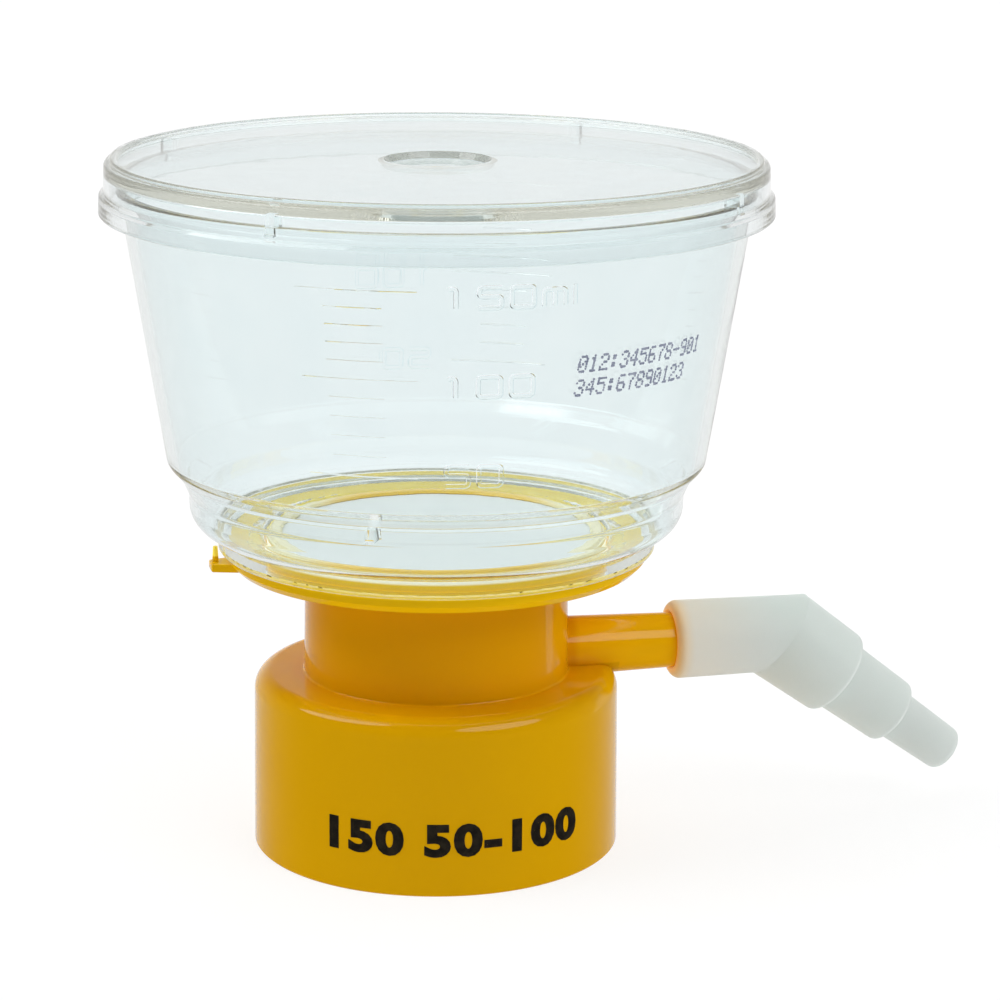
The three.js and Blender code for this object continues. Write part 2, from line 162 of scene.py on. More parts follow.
WALL = 1.3
FUNNEL_CLEARANCE = 0.3
WELD_GAP = 0.12  # between the flange and the foot, beside the wetted ring
MELT_DEPTH = 0.02  # that the foot is sunk into the flange where the weld has wetted it
MELT_INNER_R = 25.2  # inner and outer edge of the wetted ring, which are ragged
MELT_R = 27.6
MELT_INNER_RAGGED = 0.35  # how far each edge strays
MELT_RAGGED = 0.08
FOOT_R = 28.8
FOOT_HEIGHT = 2.6
FOOT_FILLET = 0.25
FLOOR_LIP = 1.8
FLOOR_LIP_ROUND = 1
BAND_R = 32.5
BAND_ROUND = 3.45
BAND_TOP = 48.2  # height where the shoulder starts to spread
KNEE_R = 33.6
KNEE_Z = 50.7
CONE_FOOT_R = 35.33
CONE_FOOT_Z = 52.6
SPREAD_ROUND = 1.5
KNEE_ROUND = 1
CONE_ROUND = 1.7
RIM_ROUND = 0.35
KEY_AZIMUTH = -103.2
KEY_WIDTH = 1.1
KEY_PROUD = 0.45

PANEL_Z = 90.3
PANEL_TOP = 91.7
SKIRT_CLEARANCE = 0.65
SKIRT_WALL = 1.05
SKIRT_FLARE = 0.6
SKIRT_DRAFT = 0.12
SKIRT_STEP = 0.9
SKIRT_STEP_HEIGHT = 0.6
LID_EDGE = 0.5
LID_FILLET = 0.35
BEAD_WIDTH = 1
BEAD_SETBACK = 0.75
BEAD_ROUND = 0.3
WELL_R = 6.95
WELL_DEPTH = 0.9
WELL_WALL = 0.65
VENT_RIBS = 4
VENT_RIB_AZIMUTH = 62
VENT_RIB_WIDTH = 1.2
VENT_RIB_DROP = 1.5
VENT_RIB_CLEARANCE = 0.25

LEAST_Z = 58.08
TICK_COUNT = 11
TICK_VOLUME = 10  # millilitres from tick to tick
LONG_TICK_EVERY = 5
LONG_TICK = (-25, -3.5)  # bearings of its ends
SHORT_TICK = (-20, -9.6)
TICK_R = 0.095
# Raised figures: text, left end and middle height.
NUMERALS = [("150ml", 0.93, 80.85), ("100", 0.93, 69.7), ("50", 1.08, 58.35)]
NUMERAL_PITCH = 4
NUMERAL_WIDTH = 2.75
NUMERAL_HEIGHT = 2.5
STROKE_WIDTH = 0.42  # half way up its relief
STROKE_SIDE = 0.1  # half the width of each sloping side
STROKE_BEND = 0.45
FRONT_RELIEF = 0.08
REAR_RELIEF = 0.05

# Dotted print: text, left end and baseline.
DOTTED_LINES = [("012:345678-901", 17.5, 70.9), ("345:67890123", 17.1, 67.9)]
DOTTED_PITCH = 1.53
DOTTED_SLANT = 0.24  # shift to the right for each millimetre of height
DOT_ROWS = 7
DOT_STEP = (0.25, 0.31)
DOT_R = 0.175
DOT_THICKNESS = 0.03
DOT_SPREAD = (0.8, 1.2)  # least and greatest share of a dot's size

CAP_PRINT = "150 50-100"
CAP_PRINT_LEFT = -14.5
CAP_PRINT_WIDTH = 35
CAP_PRINT_Z = 5.35
CAP_PRINT_HEIGHT = 4.5
INK = 0.06  # thickness of the cap's print

CONE_SLOPE = (RIM_R - CONE_FOOT_R) / (RIM_Z - CONE_FOOT_Z)

# Strokes of the raised figures: points across and up a cell of 1 by 1.
STROKES = {
    "0": [[(0, 0), (1, 0), (1, 1), (0, 1), (0, 0)]],
    "1": [[(0.15, 0.93), (0.47, 1), (0.47, 0)]],
    "5": [[(1, 1), (0.04, 1), (0, 0.55), (1, 0.55), (1, 0), (0, 0)]],
    "m": [[(0, 0), (0, 0.8), (1, 0.8), (1, 0)], [(0.5, 0.8), (0.5, 0)]],
    "l": [[(0, 0), (0, 1)]],
}

# Signs of the dotted print: seven rows of five dots.
DOT_SIGNS = {
    "0": ".###. #...# #..## #.#.# ##..# #...# .###.",
    "1": "..#.. .##.. ..#.. ..#.. ..#.. ..#.. .###.",
    "2": ".###. #...# ....# ..##. .#... #.... #####",
    "3": ".###. #...# ....# ..##. ....# #...# .###.",
    "4": "...#. ..##. .#.#. #..#. ##### ...#. ...#.",
    "5": "##### #.... ####. ....# ....# #...# .###.",
    "6": ".###. #.... #.... ####. #...# #...# .###.",
    "7": "##### ....# ...#. ..#.. ..#.. ..#.. ..#..",
    "8": ".###. #...# #...# .###. #...# #...# .###.",
    "9": ".###. #...# #...# .#### ....# ....# .###.",
    ":": "..... .##.. .##.. ..... .##.. .##.. .....",
    "-": "..... ..... ..... ##### ..... ..... .....",
}


def arm_radius(reach):
    """Radius of the side arm at a distance from the cap's axis."""
    return ARM_TIP_R + (ARM_ROOT_R - ARM_TIP_R) * (ARM_REACH - reach) / (ARM_REACH - NECK_R)


# ---- node trees ----


def arithmetic(operation):
    """An operator that adds a Math node of this operation."""
    def operator(self, other):
        return self.tree.math(operation, self, other)

    return operator


class Socket:
    """An output of a node. Arithmetic on it adds Math nodes to its tree."""

    def __init__(self, tree, socket):
        self.tree = tree
        self.socket = socket

    def also(self, name):
        """Another output of the same node."""
        return Socket(self.tree, self.socket.node.outputs[name])

    __add__ = __radd__ = arithmetic("ADD")
    __sub__ = arithmetic("SUBTRACT")
    __mul__ = __rmul__ = arithmetic("MULTIPLY")
    __truediv__ = arithmetic("DIVIDE")
    __pow__ = arithmetic("POWER")

    def __rsub__(self, other):
        return self.tree.math("SUBTRACT", other, self)

    def __neg__(self):
        return self * -1


class Tree:
    """A node tree that nodes are added to by type, settings and sockets."""

    def __init__(self, node_tree):
        self.node_tree = node_tree
        node_tree.nodes.clear()

    def node(self, kind, sockets=None, settings=None, output=0):
        """Adds a node. Its settings are set first, then its sockets' values or links."""
        node = self.node_tree.nodes.new(kind)
        for name, value in (settings or {}).items():
            setattr(node, name, value)
        for name, value in (sockets or {}).items():
            if isinstance(value, Socket):
                self.node_tree.links.new(value.socket, node.inputs[name])
            else:
                node.inputs[name].default_value = value
        return Socket(self, node.outputs[output]) if len(node.outputs) else None

    def math(self, operation, *values):
        """A Math node of this operation on the values."""
        return self.node("ShaderNodeMath", dict(enumerate(values)), {"operation": operation})

    def vector(self, x, y, z):
        """A vector from three numbers or sockets."""
        return self.node("ShaderNodeCombineXYZ", {"X": x, "Y": y, "Z": z})

    def split(self, vector):
        """The three parts of a vector."""
        x = self.node("ShaderNodeSeparateXYZ", {0: vector})
        return x, x.also("Y"), x.also("Z")

    def noise(self, vector, scale, detail=2, roughness=0.5):
        """Noise from 0 to 1, with scale cells to the millimetre."""
        return self.node("ShaderNodeTexNoise", {
            "Vector": vector, "Scale": scale, "Detail": detail, "Roughness": roughness,
        })

    def stretch(self, value, low, high, to_low=0, to_high=1):
        """value from low..high brought smoothly to to_low..to_high."""
        return self.node("ShaderNodeMapRange", {
            "Value": value, "From Min": low, "From Max": high, "To Min": to_low, "To Max": to_high,
        }, {"interpolation_type": "SMOOTHSTEP"})

    def band(self, value, start, full, fading, end):
        """1 for a value from full to fading, falling smoothly to 0 at start and at end."""
        return self.stretch(value, start, full) * self.stretch(value, end, fading)

    def mix(self, share, *colours):
        """A colour between two, each a socket or red, green and blue."""
        first, second = [c if isinstance(c, Socket) else (*c, 1) for c in colours]
        return self.node("ShaderNodeMix", {0: share, 6: first, 7: second}, {"data_type": "RGBA"}, 2)


def finish_tree(name):
    """A new material, its tree and the place on the object in millimetres."""
    material = bpy.data.materials.new(name)
    material.use_nodes = True
    material.cycles.emission_sampling = "NONE"
    tree = Tree(material.node_tree)
    place = tree.node("ShaderNodeTexCoord", output="Object")
    place = tree.node("ShaderNodeVectorMath", {0: place, "Scale": 1 / MM}, {"operation": "SCALE"})
    return material, tree, place


def bump(tree, height, depth):
    """A normal from a height of 0 to 1, depth millimetres deep."""
    return tree.node("ShaderNodeBump", {"Height": height, "Distance": depth * MM, "Strength": 1})


def surface(tree, sockets, volume=None):
    """The tree's Principled shader, and the material's output."""
    shader = tree.node("ShaderNodeBsdfPrincipled", sockets)
    links = {"Surface": shader}
    if volume:
        links["Volume"] = volume
    tree.node("ShaderNodeOutputMaterial", links)


# ---- meshes ----


def rounded(corners):
    """Points of a closed outline through corners (r, z, fillet radius), each fillet an arc."""
    points = []
    for i, corner in enumerate(corners):
        here = Vector(corner[:2])
        fillet = corner[2] if len(corner) > 2 else 0
        if fillet <= 0:
            points.append(here)
            continue
        before = (Vector(corners[i - 1][:2]) - here).normalized()
        after = (Vector(corners[(i + 1) % len(corners)][:2]) - here).normalized()
        half = before.angle(after) / 2
        centre = here + (before + after).normalized() * fillet / math.sin(half)
        start = here + before * fillet / math.tan(half) - centre
        end = here + after * fillet / math.tan(half) - centre
        start_angle = math.atan2(start.y, start.x)
        sweep = math.remainder(math.atan2(end.y, end.x) - start_angle, math.tau)
        steps = max(2, math.ceil(abs(sweep) / ARC_STEP))
        for k in range(steps + 1):
            angle = start_angle + sweep * k / steps
            points.append(centre + fillet * Vector((math.cos(angle), math.sin(angle))))
    return points


def inner_face(corners, wall):
    """The inner face of a wall whose outer face runs upwards through corners."""
    inner = []
    for below, here, above in zip(corners, corners[1:], corners[2:]):
        first = (Vector(here[:2]) - Vector(below[:2])).normalized()
        second = (Vector(above[:2]) - Vector(here[:2])).normalized()
        normals = Vector((-first.y, first.x)) + Vector((-second.y, second.x))
        shift = normals * wall / (1 + first.dot(second))
        turn = math.copysign(1, first.cross(second))
        inner.append((here[0] + shift.x, here[1] + shift.y, max(here[2] - turn * wall, 0)))
    return inner[::-1]


def scene_object(name, data):
    """A new object with this data, put in the scene."""
    thing = bpy.data.objects.new(name, data)
    bpy.context.scene.collection.objects.link(thing)
    return thing


def mesh_object(name, vertices, faces, edges=(), unit=MM):
    """A mesh object of vertices in millimetres."""
    mesh = bpy.data.meshes.new(name)
    mesh.from_pydata([Vector(v) * unit for v in vertices], edges, faces)
    return scene_object(name, mesh)


def turned(name, corners, around=ROUND):
    """A solid turned about +Z from corners given anticlockwise in the (r, z) plane."""
    vertices, rings = [], []
    for r, z in rounded(corners):
        first = len(vertices)
        if r == 0:
            vertices.append((0, 0, z))
            rings.append([first] * around)
            continue
        angles = [math.tau * k / around for k in range(around)]
        vertices += [(r * math.cos(a), r * math.sin(a), z) for a in angles]
        rings.append(list(range(first, first + around)))
    faces = []
    for low, high in zip(rings, rings[1:] + rings[:1]):
        for k in range(around):
            after = (k + 1) % around
            face = list(dict.fromkeys((low[k], low[after], high[after], high[k])))
            if len(face) > 2:
                faces.append(face)
    return mesh_object(name, vertices, faces)


def frustum(name, low_r, high_r, low, high, around=SLIM_ROUND):
    """A cone frustum about +Z from z = low to z = high."""
    return turned(name, [(0, low), (low_r, low), (high_r, high), (0, high)], around)


def block(name, low, high):
    """A box between two corners, in millimetres."""
    spans = list(zip(low, high))
    vertices = [(x, y, z) for x in spans[0] for y in spans[1] for z in spans[2]]
    faces = [(0, 1, 3, 2), (4, 6, 7, 5), (0, 4, 5, 1), (2, 3, 7, 6), (0, 2, 6, 4), (1, 5, 7, 3)]
    return mesh_object(name, vertices, faces)


def moved(thing, *matrices):
    """thing with its mesh moved by each matrix in turn."""
    for matrix in matrices:
        thing.data.transform(matrix)
    return thing


def turn(degrees, axis="Z"):
    """A turn about an axis through the origin."""
    return Matrix.Rotation(math.radians(degrees), 4, axis)


def shift(x, y, z):
    """A move by millimetres."""
    return Matrix.Translation(Vector((x, y, z)) * MM)


def along_arm(thing):
    """thing made about +Z, laid along the side arm's axis."""
    return moved(thing, turn(90, "Y"), turn(ARM_AZIMUTH), shift(0, 0, ARM_Z))


def evaluated_mesh(thing):
    """The mesh that thing has with its modifiers."""
    depsgraph = bpy.context.evaluated_depsgraph_get()
    return bpy.data.meshes.new_from_object(thing.evaluated_get(depsgraph))


def applied(thing):
    """thing with its modifiers made part of its mesh."""
    mesh = evaluated_mesh(thing)
    thing.modifiers.clear()
    thing.data = mesh
    return thing


def combine(thing, operation, tools):
    """thing joined to, or cut by, the tools, which are used up."""
    for tool in tools:
        modifier = thing.modifiers.new(operation, "BOOLEAN")
        modifier.operation = operation
        modifier.solver = "MANIFOLD"
        modifier.object = tool
    applied(thing)
    for tool in tools:
        bpy.data.objects.remove(tool)
    return thing


def geometry_tree(name, sizes):
    """A Geometry Nodes tree, the geometry that it starts from and a socket for each named size."""
    group = bpy.data.node_groups.new(name, "GeometryNodeTree")
    group.is_modifier = True
    group.interface.new_socket("Geometry", in_out="INPUT", socket_type="NodeSocketGeometry")
    for label in sizes:
        kind = "NodeSocketInt" if label == "Count" else "NodeSocketFloat"
        group.interface.new_socket(label, in_out="INPUT", socket_type=kind)
    group.interface.new_socket("Geometry", in_out="OUTPUT", socket_type="NodeSocketGeometry")
    tree = Tree(group)
    start = tree.node("NodeGroupInput", output="Geometry")
    return tree, start, [start.also(label) for label in sizes]


def grown(tree, shape, sizes, material, start=None):
    """The plain mesh object that a tree makes from these sizes. A tree works in millimetres."""
    shape = tree.node("GeometryNodeRealizeInstances", {"Geometry": shape})
    shape = tree.node("GeometryNodeSetMaterial", {"Geometry": shape, "Material": material})
    tree.node("NodeGroupOutput", {"Geometry": shape})
    group = tree.node_tree
    thing = start or mesh_object(group.name, [], [])
    modifier = thing.modifiers.new(group.name, "NODES")
    modifier.node_group = group
    for item in group.interface.items_tree:
        if item.in_out == "INPUT" and item.name in sizes:
            number = int if item.name == "Count" else float
            modifier[item.identifier] = number(sizes[item.name])
    return moved(applied(thing), Matrix.Scale(MM, 4))


def spokes(count, first, inner, outer, width, low, high):
    """Boxes set like spokes round the axis, the first at an angle in degrees."""
    sizes = {"Count": count, "First": math.radians(first), "Inner": inner, "Outer": outer,
             "Width": width, "Low": low, "High": high}
    tree, _, (number, start, near, far, across, bottom, top) = geometry_tree("spokes", sizes)
    size = tree.vector(far - near, across, top - bottom)
    centre = tree.vector((near + far) * 0.5, 0, (top + bottom) * 0.5)
    box = tree.node("GeometryNodeMeshCube", {"Size": size})
    box = tree.node("GeometryNodeTransform", {"Geometry": box, "Translation": centre})
    points = tree.node("GeometryNodeMeshLine", {"Count": number, "Offset": (0, 0, 0)})
    angle = start + tree.node("GeometryNodeInputIndex") * math.tau / number
    shape = tree.node("GeometryNodeInstanceOnPoints", {
        "Points": points, "Instance": box, "Rotation": tree.vector(0, 0, angle),
    })
    return grown(tree, shape, sizes, YELLOW)


def swept(tree, path, section):
    """A closed bar of this section along a path."""
    path = tree.node("GeometryNodeSetCurveNormal", {"Curve": path}, {"mode": "Z_UP"})
    sockets = {"Curve": path, "Profile Curve": section, "Fill Caps": True}
    return tree.node("GeometryNodeCurveToMesh", sockets)


def tube_along(tree, path, radius, sides):
    """A closed round bar along a path."""
    section = tree.node("GeometryNodeCurvePrimitiveCircle", {"Resolution": sides, "Radius": radius})
    return swept(tree, path, section)


def placed_round(tree, shape, out, bearing, height):
    """shape with its points at these distances from the axis, bearings in radians and heights."""
    place = tree.vector(out * tree.math("SINE", bearing), -out * tree.math("COSINE", bearing), height)
    return tree.node("GeometryNodeSetPosition", {"Geometry": shape, "Position": place})


def on_wall(tree, shape, facing, foot_r, foot_z, slope):
    """shape drawn flat, x to the right, y up and z outwards, laid on a conical wall."""
    across, height, proud = tree.split(tree.node("GeometryNodeInputPosition"))
    wall_r = foot_r + slope * (height - foot_z)
    return placed_round(tree, shape, wall_r + proud, facing + across / wall_r, height)


def finished(thing, material):
    """thing with its material, smooth apart from its real edges, without faces of no area."""
    mesh = thing.data
    mesh.name = thing.name
    whole = bmesh.new()
    whole.from_mesh(mesh)
    bmesh.ops.dissolve_degenerate(whole, dist=LEAST_EDGE, edges=whole.edges)
    loose = [edge for edge in whole.edges if not edge.link_faces]
    bmesh.ops.delete(whole, geom=loose, context="EDGES")
    whole.to_mesh(mesh)
    whole.free()
    mesh.materials.clear()
    mesh.materials.append(material)
    mesh.polygons.foreach_set("use_smooth", [True] * len(mesh.polygons))
    mesh.set_sharp_from_angle(angle=SMOOTH_ANGLE)
    weighted = thing.modifiers.new("large faces lead", "WEIGHTED_NORMAL")
    weighted.keep_sharp = True
    weighted.weight = 100
    applied(thing).data.name = thing.name
    return thing


# ---- finishes ----


def yellow_plastic():
    """Glossy warm yellow moulding, more orange at the neck in painted shade, brighter at the arm and the
    flange in painted light, and brighter under the clear foot in painted light and a painted glow.
    """
    material, tree, place = finish_tree("yellow_plastic")
    across, depth, height = tree.split(place)
    radius = (across * across + depth * depth) ** 0.5
    # Painted shade: the neck is more orange where the flange above shades it.
    neck = tree.band(height, CAP_HEIGHT - 2, CAP_HEIGHT + 2.5, FLANGE_Z - 2.5, FLANGE_Z + 2)
    neck = neck * tree.stretch(radius, NECK_R + 2.1, NECK_R + 0.8)
    # The flange's top, golden in front and lemon behind: painted light.
    top = tree.stretch(height, FLANGE_TOP - 0.3, FLANGE_TOP - 0.05)
    land = tree.mix(tree.stretch(depth, 12, -18), (1, 0.87, 0.2), (1, 0.77, 0.05))
    land = tree.mix(tree.stretch(radius, PLATFORM_R + 1.9, PLATFORM_R + 1.3), land, (0.9, 0.6, 0.03))
    # The platform's side wall, paler at its top, and an emitted glow on the flange's top: painted light
    # for the light that the clear foot brings.
    lit = top * tree.stretch(height, PLATFORM_Z, PLATFORM_Z - 0.1)
    side = (PLATFORM_R - 0.4, PLATFORM_R - 0.2, PLATFORM_R + 0.1, PLATFORM_R + 0.15)
    wall = lit * tree.band(radius, *side)
    upper = tree.stretch(height, FLANGE_TOP + 0.75, FLANGE_TOP + 1.15)
    land = tree.mix(wall, land, tree.mix(upper, (1, 0.72, 0.06), (1, 0.97, 0.86)))
    painted_wall_glow = tree.mix(upper, (0.2, 0.11, 0), (0.33, 0.34, 0.3))
    painted_glow = tree.mix(wall, (0.12, 0.07, 0.005), painted_wall_glow)
    # Painted light: the lip and the seal bead are orange in front and behind and paler at the left and
    # right.
    aside = tree.stretch(across * across, 100, 330)  # square millimetres
    seal = tree.mix(aside, (0.95, 0.62, 0.06), (0.95, 0.87, 0.55))
    # Painted light: the arm is a brighter yellow than the body.
    over_cap = tree.stretch(height, CAP_HEIGHT, CAP_HEIGHT + 0.4)
    arm = tree.math("MAXIMUM", over_cap, tree.stretch(radius, CAP_R + 0.15, CAP_R + 0.45))
    arm = arm * tree.stretch(height, ARM_Z + 5.65, ARM_Z + 4.65)
    arm = arm * tree.stretch(radius, NECK_R + 0.8, NECK_R + 2.1)
    cloud = tree.stretch(tree.noise(place, 0.09, 3), 0.35, 0.65)
    grain = tree.noise(place, 3.5, 3, 0.6)
    body = tree.mix(cloud * 0.35, (0.72, 0.375, 0.001), (0.69, 0.355, 0.001))
    colour = tree.mix(neck * 0.8, body, (0.78, 0.35, 0.001))
    colour = tree.mix(arm, colour, (0.86, 0.45, 0.002))
    # Painted light: the flange's bevel and rim are a brighter yellow, as if lit from the floor.
    flange = tree.stretch(height, FLANGE_Z - 0.1, FLANGE_Z + 0.3)
    colour = tree.mix(flange, colour, (0.84, 0.48, 0.003))
    colour = tree.mix(top, colour, land)
    colour = tree.mix(tree.stretch(height, PLATFORM_Z, PLATFORM_Z + 0.1), colour, seal)
    surface(tree, {
        "Base Color": colour,
        # Painted glow under the clear foot.
        "Emission Color": tree.mix(lit, (0, 0, 0), painted_glow),
        "Emission Strength": 1,
        "Roughness": tree.stretch(grain, 0.3, 0.7, 0.05, 0.09),
        "Normal": bump(tree, cloud, 0.03),
    })
    return material


def clear_plastic(name, dark, light, density):
    """Clear glossy polystyrene with the faint waves of its moulding."""
    material, tree, place = finish_tree(name)
    across, depth, height = tree.split(place)
    radius = (across * across + depth * depth) ** 0.5
    waves = tree.noise(place, 0.12, 1)
    grain = tree.noise(place, 2, 2)
    tint = tree.mix(tree.stretch(waves, 0.3, 0.7), dark, light)
    # The lid's skirt, and the side wall of its gate well, which is darkened with painted shade.
    skirt = tree.stretch(radius, RIM_R + 0.2, RIM_R + 0.4) * tree.stretch(height, PANEL_Z, PANEL_Z - 0.5)
    tint = tree.mix(skirt, tint, (0.93, 0.962, 0.968))
    well = tree.band(radius, WELL_R - 0.6, WELL_R - 0.5, WELL_R, WELL_R + 0.1)
    well = well * tree.stretch(height, PANEL_Z + 0.4, PANEL_Z + 0.6)
    tint = tree.mix(well, tint, (0.34, 0.38, 0.37))
    depth_tint = {"Color": (0.56, 0.52, 0.37, 1), "Density": density}
    surface(tree, {
        "Base Color": tint,
        "Roughness": tree.stretch(grain, 0.3, 0.7, 0, 0.015),
        "IOR": 1.59,
        "Transmission Weight": 1,
        "Normal": bump(tree, waves, 0.008),
    }, tree.node("ShaderNodeVolumeAbsorption", depth_tint))
    return material


def frosted_plastic():
    """Soft white polyethylene that lets light through, with painted light from the arm at its mouth: the
    arm's colour, a warmer tint and an orange glow.
    """
    material, tree, place = finish_tree("frosted_plastic")
    across, depth, height = tree.split(place)
    azimuth = math.radians(ARM_AZIMUTH)
    reach = across * math.cos(azimuth) + depth * math.sin(azimuth)
    aside = depth * math.cos(azimuth) - across * math.sin(azimuth)
    above = height - ARM_Z
    from_axis = (aside * aside + above * above) ** 0.5
    # Painted light from the yellow arm: the arm's colour at the mouth, a warmer tint towards it and an
    # orange glow inside it.
    painted_glow = tree.stretch(reach, ADAPTER_MOUTH + 2.5, ADAPTER_MOUTH - 0.5)
    warm = tree.stretch(reach, ADAPTER_ELBOW, ADAPTER_MOUTH)
    inside = tree.stretch(reach, ADAPTER_MOUTH + 2, ADAPTER_MOUTH) * tree.stretch(from_axis, 4.9, 4)
    cloud = tree.noise(place, 0.15, 3)
    grain = tree.noise(place, 4, 3)
    colour = tree.mix(cloud, (0.69, 0.755, 0.72), (0.73, 0.785, 0.75))
    colour = tree.mix(warm, colour, (0.82, 0.8, 0.7))
    colour = tree.mix(painted_glow * 0.7, colour, (0.92, 0.58, 0.2))
    surface(tree, {
        "Base Color": colour,
        "Roughness": tree.stretch(grain, 0.3, 0.7, 0.4, 0.55),
        "Subsurface Weight": 0.6,
        "Subsurface Radius": (1, 1, 1),
        "Subsurface Scale": 0.003,
        "Emission Color": tree.mix(inside, (0, 0, 0), (0.22, 0.09, 0.01)),
        "Emission Strength": 1,
        "Normal": bump(tree, grain, 0.01),
    })
    return material


def filter_membrane():
    """Matt white porous membrane."""
    material, tree, place = finish_tree("filter_membrane")
    pores = tree.noise(place, 9, 4, 0.7)
    cloud = tree.noise(place, 0.2, 2)
    surface(tree, {
        "Base Color": tree.mix(cloud, (0.84, 0.86, 0.85), (0.89, 0.9, 0.88)),
        "Roughness": tree.stretch(pores, 0.3, 0.7, 0.85, 1),
        "Normal": bump(tree, pores, 0.02),
    })
    return material


def seal_rubber():
    """Soft off-white sealing washer."""
    material, tree, place = finish_tree("seal_rubber")
    grain = tree.noise(place, 3, 4, 0.6)
    surface(tree, {
        "Base Color": tree.mix(grain, (0.74, 0.72, 0.66), (0.82, 0.8, 0.75)),
        "Roughness": tree.stretch(grain, 0.3, 0.7, 0.6, 0.75),
        "Normal": bump(tree, grain, 0.02),
    })
    return material


def ink(name, dark, light, gaps):
    """Printing ink: darker and lighter stretches, with pits where it missed the surface."""
    material, tree, place = finish_tree(name)
    cloud = tree.noise(place, 1.2, 3, 0.6)
    pits = tree.noise(place, 4.5, 3, 0.7)
    surface(tree, {
        "Base Color": tree.mix(tree.stretch(cloud, 0.35, 0.65), dark, light),
        "Roughness": tree.stretch(pits, 0.3, 0.7, 0.35, 0.6),
        "Alpha": tree.stretch(pits, gaps, gaps + 0.03),
        "Normal": bump(tree, pits, 0.01),
    })
    return material


YELLOW = yellow_plastic()
CLEAR = clear_plastic("clear_plastic", (0.92, 0.974, 0.985), (0.935, 0.984, 0.993), 25)
LID_CLEAR = clear_plastic("clear_lid_plastic", (0.915, 0.975, 0.983), (0.93, 0.985, 0.988), 10)
FROSTED = frosted_plastic()
MEMBRANE = filter_membrane()
RUBBER = seal_rubber()
BLACK_INK = ink("black_ink", (0.012, 0.008, 0.004), (0.03, 0.02, 0.008), 0.27)
GREY_INK = ink("grey_ink", (0.22, 0.25, 0.35), (0.33, 0.36, 0.46), 0.2)

# ---- support base ----


def base_body():
    """Cap, neck, flange and platform, up the outside and down the inside."""
    neck_root_r = NECK_R + NECK_DRAFT
    neck_bore_r = NECK_R - NECK_WALL
    drain_r = MEMBRANE_R - LAND_WIDTH
    drain_z = PLATFORM_Z - DRAIN_DEPTH
    underside = drain_z - PLATE_THICKNESS
    spout_r = SPOUT_BORE_R + SPOUT_WALL
    return turned("support_base_looks", [
        (CAP_BORE_R, 0, EDGE_ROUND),
        (CAP_R - RIM_CHAMFER, 0, EDGE_ROUND),
        (CAP_R, RIM_CHAMFER, SMALL_ROUND),
        (CAP_R - CAP_DRAFT, CAP_HEIGHT, CAP_SHOULDER),
        (neck_root_r, CAP_HEIGHT, NECK_ROOT_FILLET),
        (NECK_R, FLANGE_Z, NECK_FILLET),
        (FLANGE_R - FLANGE_BEVEL, FLANGE_Z, FLANGE_ROUND),
        (FLANGE_R, FLANGE_Z + FLANGE_BEVEL, CORNER_ROUND),
        (FLANGE_R, FLANGE_TOP, EDGE_ROUND),
        (PLATFORM_R, FLANGE_TOP, EDGE_ROUND),
        (PLATFORM_R, LIP_TOP, LIP_ROUND),
        (PLATFORM_R - LIP_WIDTH, LIP_TOP, LIP_ROUND),
        (PLATFORM_R - LIP_WIDTH, PLATFORM_Z),
        (drain_r, PLATFORM_Z),
        (drain_r, drain_z),
        (SPOUT_BORE_R, drain_z - DRAIN_FALL),
        (SPOUT_BORE_R, underside - DRAIN_FALL),
        (spout_r, underside - DRAIN_FALL),
        (neck_bore_r, underside, NECK_FILLET),
        (neck_bore_r, ROOF_Z),
        (CAP_BORE_R, ROOF_Z),
    ])


def spout():
    """Outlet spout, from inside the platform's plate to the washer's underside."""
    top = PLATFORM_Z - DRAIN_DEPTH - DRAIN_FALL - JOIN
    outer = SPOUT_BORE_R + SPOUT_WALL
    tube = frustum("tube", outer - SPOUT_TAPER, outer, SPOUT_END, top)
    end, start = SPOUT_END - OVERCUT, top + OVERCUT
    bore = frustum("bore", SPOUT_BORE_R - SPOUT_TAPER, SPOUT_BORE_R, end, start)
    return combine(tube, "DIFFERENCE", [bore])


def side_arm():
    """Side arm, from inside the neck's wall to its tip, kept out of the cap's cavity."""
    root = NECK_R - NECK_WALL / 2
    arm = along_arm(turned("arm", [
        (0, root),
        (arm_radius(root), root),
        (ARM_TIP_R, ARM_REACH, ARM_TIP_ROUND),
        (0, ARM_REACH),
    ], SLIM_ROUND))
    cavity = frustum("cavity", CAP_BORE_R, CAP_BORE_R, 0, ROOF_Z, ROUND)
    return combine(arm, "DIFFERENCE", [cavity])


def index_tab():
    """Tab with its pin, level with the flange's underside."""
    root = FLANGE_R - FLANGE_BEVEL - JOIN
    half = TAB_WIDTH / 2
    wide = half + TAB_FLARE
    plan = [(root, -wide), (TAB_REACH, -half), (TAB_REACH, half), (root, wide)]
    vertices = [(x, y, z) for z in (0, TAB_THICKNESS) for x, y in plan]
    sides = [(k, (k + 1) % 4, (k + 1) % 4 + 4, k + 4) for k in range(4)]
    tab = mesh_object("tab", vertices, [(3, 2, 1, 0), (4, 5, 6, 7), *sides])
    edge = tab.modifiers.new("edge", "BEVEL")
    edge.width = TAB_ROUND * MM
    edge.segments = 3
    applied(tab)
    pin = turned("pin", [
        (0, TAB_THICKNESS - JOIN),
        (PIN_R, TAB_THICKNESS - JOIN),
        (PIN_TIP_R, TAB_THICKNESS + PIN_HEIGHT, SMALL_ROUND),
        (0, TAB_THICKNESS + PIN_HEIGHT),
    ], PIN_SIDES)
    moved(pin, shift(TAB_REACH - PIN_R - PIN_SETBACK, 0, 0))
    return moved(combine(tab, "UNION", [pin]), turn(ARM_AZIMUTH + 180), shift(0, 0, FLANGE_Z))


